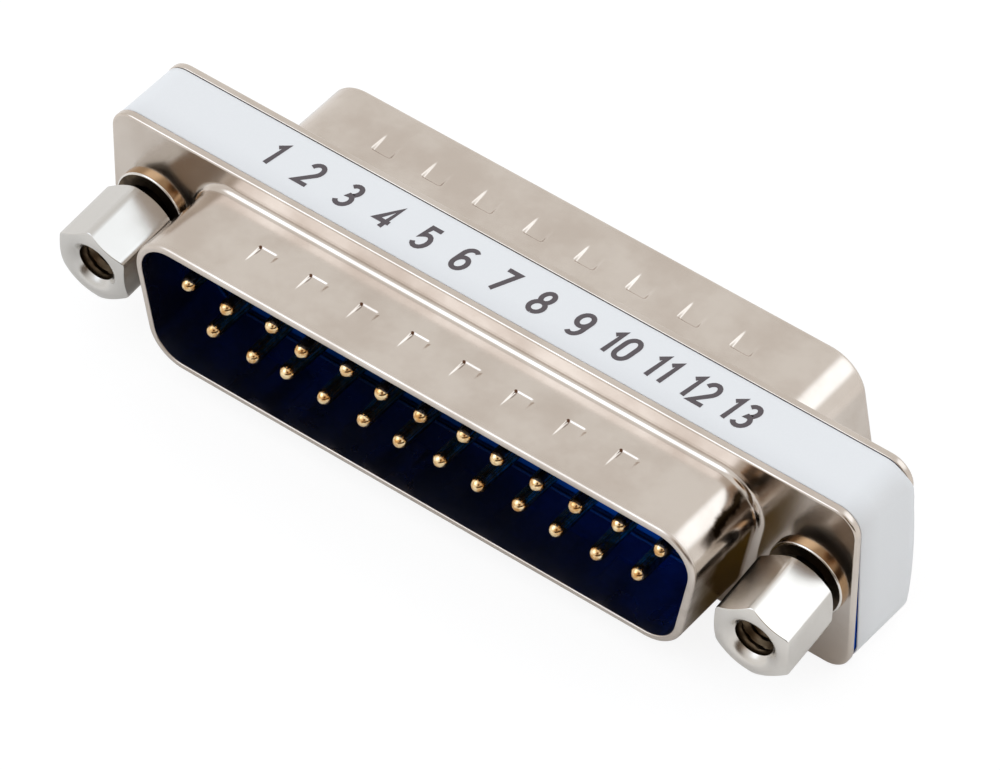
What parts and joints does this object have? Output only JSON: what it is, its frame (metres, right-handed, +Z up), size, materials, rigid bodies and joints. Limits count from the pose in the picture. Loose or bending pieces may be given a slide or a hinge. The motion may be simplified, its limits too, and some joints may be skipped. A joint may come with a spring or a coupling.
{
  "type": "d-sub gender changer",
  "caption": "Plug-to-plug D-subminiature gender changer: drawn steel plug shells back to back, cranked gold contacts and hexagonal standoffs.",
  "frame": {"origin": "middle of the part's outline in X and Y, at the height of the flanges' lower edges", "axes": "+X along the flanges, +Y from the front plug with the standoffs to the rear plug, +Z up, towards the front plug's long row"},
  "size_m": [0.053, 0.0174, 0.0126],
  "materials": {
    "shell_nickel": "nickel-plated drawn steel, satin",
    "standoff_nickel": "nickel-plated turned steel, bright",
    "navy_plastic": "moulded, glossy dark blue",
    "label": "white printed tape",
    "gold_plate": "gold-plated, polished"
  },
  "bodies": {
    "root": {"front_shell": "shell_nickel", "rear_shell": "shell_nickel", "front_insulator": "navy_plastic", "rear_insulator": "navy_plastic", "label_band": "label", "standoff_left": "standoff_nickel", "standoff_right": "standoff_nickel", "threaded_insert_left": "standoff_nickel", "threaded_insert_right": "standoff_nickel", "contact_01": "gold_plate", "contact_02": "gold_plate", "contact_03": "gold_plate", "contact_04": "gold_plate", "contact_05": "gold_plate", "contact_06": "gold_plate", "contact_07": "gold_plate", "contact_08": "gold_plate", "contact_09": "gold_plate", "contact_10": "gold_plate", "contact_11": "gold_plate", "contact_12": "gold_plate", "contact_13": "gold_plate", "contact_14": "gold_plate", "contact_15": "gold_plate", "contact_16": "gold_plate", "contact_17": "gold_plate", "contact_18": "gold_plate", "contact_19": "gold_plate", "contact_20": "gold_plate", "contact_21": "gold_plate", "contact_22": "gold_plate", "contact_23": "gold_plate", "contact_24": "gold_plate", "contact_25": "gold_plate"}
  },
  "joints": []
}
